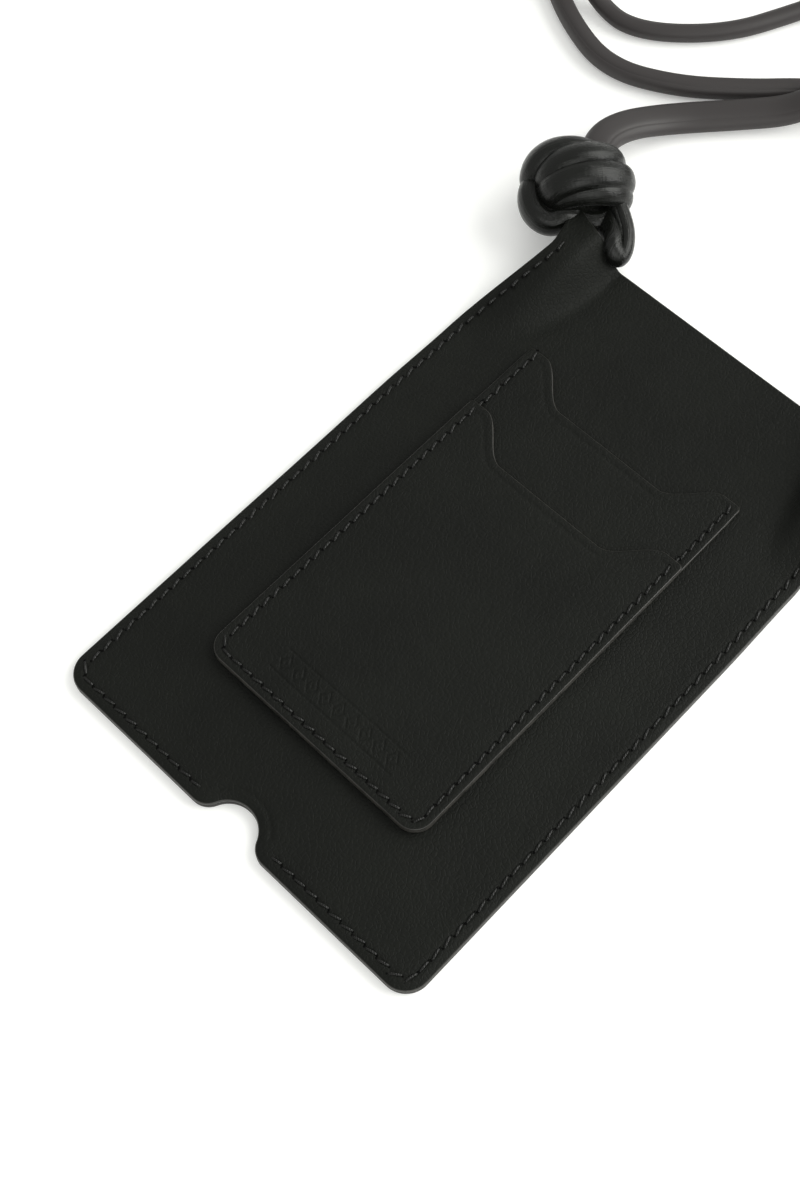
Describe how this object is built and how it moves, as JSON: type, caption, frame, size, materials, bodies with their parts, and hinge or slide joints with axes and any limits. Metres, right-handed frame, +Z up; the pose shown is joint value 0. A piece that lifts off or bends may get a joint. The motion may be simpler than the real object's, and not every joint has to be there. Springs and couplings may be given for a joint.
{
  "type": "neck_pouch_wallet",
  "caption": "Flat black leather phone pouch with stacked card pockets, knotted at both mouth corners to a soft leather neck cord laid in loops, the rest coiled.",
  "frame": {"origin": "bottom centre of the pouch lying on its back, on the surface it lies on, without the cord", "axes": "+X across the pouch to the right as its front is seen with the mouth up, +Y along the pouch to its open mouth, +Z up out of the front face"},
  "size_m": [0.2521, 0.2905, 0.023],
  "materials": {
    "leather": "matte fine-grained black leather with burnished edges",
    "cord_leather": "soft folded black leather with a low sheen",
    "lining": "thin black twill lining",
    "thread": "waxed black polyester thread"
  },
  "bodies": {
    "root": {"back_panel": "leather", "back_lining": "lining", "front_lining": "lining", "front_panel": "leather", "card_pocket_long": "leather", "card_pocket_short": "leather", "left_seam_thread": "thread", "right_seam_thread": "thread", "left_bobbin_thread": "thread", "right_bobbin_thread": "thread", "pocket_seam_thread": "thread", "pocket_bobbin_thread": "thread", "left_loop": "cord_leather", "right_loop": "cord_leather", "left_knot": "cord_leather", "right_knot": "cord_leather", "strap": "cord_leather", "strap_coil": "cord_leather", "coil_tie": "cord_leather"}
  },
  "joints": []
}
